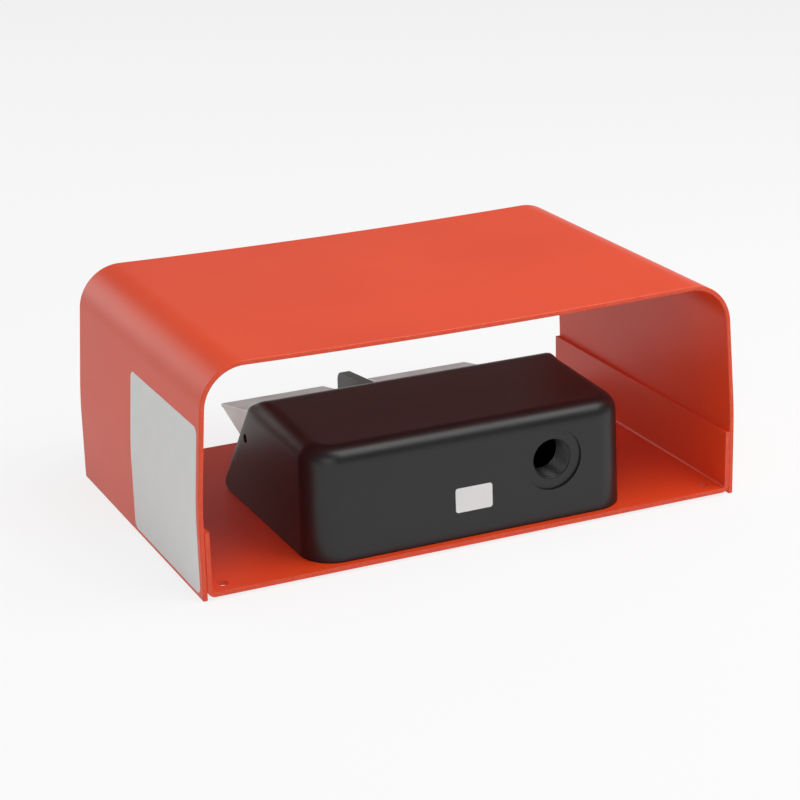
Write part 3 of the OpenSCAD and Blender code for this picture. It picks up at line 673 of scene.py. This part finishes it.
shot = {"place": (0.4697, 1.0560, 0.4548), "yaw": 0.4331, "pitch": 0.3331, "roll": -0.0231,
        "lens": 104.14, "shift": (-0.0409, -0.0164)}
ahead = math.cos(shot["pitch"])
look = Vector((-math.sin(shot["yaw"]) * ahead, -math.cos(shot["yaw"]) * ahead, -math.sin(shot["pitch"])))
right = Vector((-math.cos(shot["yaw"]), math.sin(shot["yaw"]), 0))
up = right.cross(look)
cosRoll, sinRoll = math.cos(shot["roll"]), math.sin(shot["roll"])
right, up = cosRoll * right + sinRoll * up, -sinRoll * right + cosRoll * up
camera = bpy.data.objects.new("camera", bpy.data.cameras.new("camera"))
bpy.context.scene.collection.objects.link(camera)
camera.matrix_world = Matrix.Translation(shot["place"]) @ Matrix((right, up, -look)).transposed().to_4x4()
camera.data.lens = shot["lens"]
camera.data.sensor_width = 36
camera.data.shift_x, camera.data.shift_y = shot["shift"]
camera.data.clip_start, camera.data.clip_end = 0.05, 30
bpy.context.scene.camera = camera

lamps = {
    "overhead": {"place": (-0.45, 0.35, 1.15), "size": (1.1, 0.9), "power": 11.0},
    "behindLeft": {"place": (0.62, -1.35, 0.42), "size": (0.7, 0.55), "power": 2.2},
    "besideCamera": {"place": (0.9, 1.5, 0.9), "size": (0.9, 0.9), "power": 5.0},
}
for name, lamp in lamps.items():
    data = bpy.data.lights.new(name, "AREA")
    data.shape, data.size, data.size_y, data.energy = "RECTANGLE", *lamp["size"], lamp["power"]
    light = bpy.data.objects.new(name, data)
    light.location = lamp["place"]
    toObject = Vector((0, 0, 0.05)) - Vector(lamp["place"])
    light.rotation_euler = toObject.to_track_quat("-Z", "Y").to_euler()
    light.visible_camera = False
    bpy.context.scene.collection.objects.link(light)

room = bpy.data.worlds.new("studio")
bpy.context.scene.world = room
room.use_nodes = True
tree = room.node_tree
tree.nodes.clear()
# the camera sees a white sweep; mirrors see it too, up to about ten degrees above the horizon,
# and a dim room over it; the rest of the light on the object is the room's soft fill
path = addNode(tree, "ShaderNodeLightPath").outputs
sky = addNode(tree, "ShaderNodeTexCoord").outputs["Generated"]
height = addNode(tree, "ShaderNodeSeparateXYZ", {}, {"Vector": sky})
sweep = addNode(tree, "ShaderNodeMapRange",
                {"From Min": 0.08, "From Max": 0.22, "To Min": 1.0, "To Max": 0.18},
                {"Value": height.outputs["Z"]})
mirrors = addNode(tree, "ShaderNodeMath", {"operation": "MAXIMUM"},
                  {0: path["Is Glossy Ray"], 1: path["Is Transmission Ray"]})
soft = addNode(tree, "ShaderNodeMix", {"data_type": "FLOAT", 2: 0.32},
               {0: mirrors.outputs[0], 3: sweep.outputs[0]})
level = addNode(tree, "ShaderNodeMix", {"data_type": "FLOAT", 3: 1.0},
                {0: path["Is Camera Ray"], 2: soft.outputs[0]})
back = addNode(tree, "ShaderNodeBackground", {"Color": linear("#FFFFFF")}, {"Strength": level.outputs[0]})
addNode(tree, "ShaderNodeOutputWorld", {}, {"Surface": back.outputs[0]})


def floorPaper():
    # Matt white background paper: it takes the object's soft shadow, and for the camera and in
    # reflections it is lifted to the white of the sweep.
    material, tree = newMaterial("whitePaper")
    where = addNode(tree, "ShaderNodeTexCoord").outputs
    fibre = addNode(tree, "ShaderNodeTexNoise", {"Scale": 900.0, "Detail": 2.0}, {"Vector": where["Object"]})
    tone = addNode(tree, "ShaderNodeMix", {"data_type": "RGBA", 6: linear("#F4F4F4"), 7: linear("#F1F1F1")},
                   {0: fibre.outputs["Fac"]})
    paper = addNode(tree, "ShaderNodeBsdfDiffuse", {}, {"Color": tone.outputs[2]})
    glow = addNode(tree, "ShaderNodeEmission", {"Color": linear("#FFFFFF"), "Strength": 1.0})
    path = addNode(tree, "ShaderNodeLightPath").outputs
    seen = addNode(tree, "ShaderNodeMath", {"operation": "MAXIMUM"},
                   {0: path["Is Camera Ray"], 1: path["Is Glossy Ray"]})
    seen = addNode(tree, "ShaderNodeMath", {"operation": "MAXIMUM"},
                   {0: seen.outputs[0], 1: path["Is Transmission Ray"]})
    share = addNode(tree, "ShaderNodeMath", {"operation": "MULTIPLY", 1: 0.8}, {0: seen.outputs[0]})
    both = addNode(tree, "ShaderNodeMixShader", {},
                   {0: share.outputs[0], 1: paper.outputs[0], 2: glow.outputs[0]})
    surface(tree, both.outputs[0])
    return material


spread = np.linspace(0, 2 * np.pi, 64, endpoint=False)
rings = np.array([0.3, 1.0, 3.0])[:, None]
floorGrid = np.stack([rings * np.cos(spread), rings * np.sin(spread), 0 * rings * spread], -1)
floorVerts, floorQuads, floorTris = gridPart(floorGrid / mm)
floor = objectFrom("floor", meshFrom("floor", [(floorVerts, floorQuads, floorTris[:64])]))
if floor.data.polygons[0].normal.z < 0:  # an open disc has no outside, so it is faced up here
    floor.data.flip_normals()
floor.data.materials.append(floorPaper())
bpy.context.scene.view_settings.view_transform = "Standard"
print("studio set")
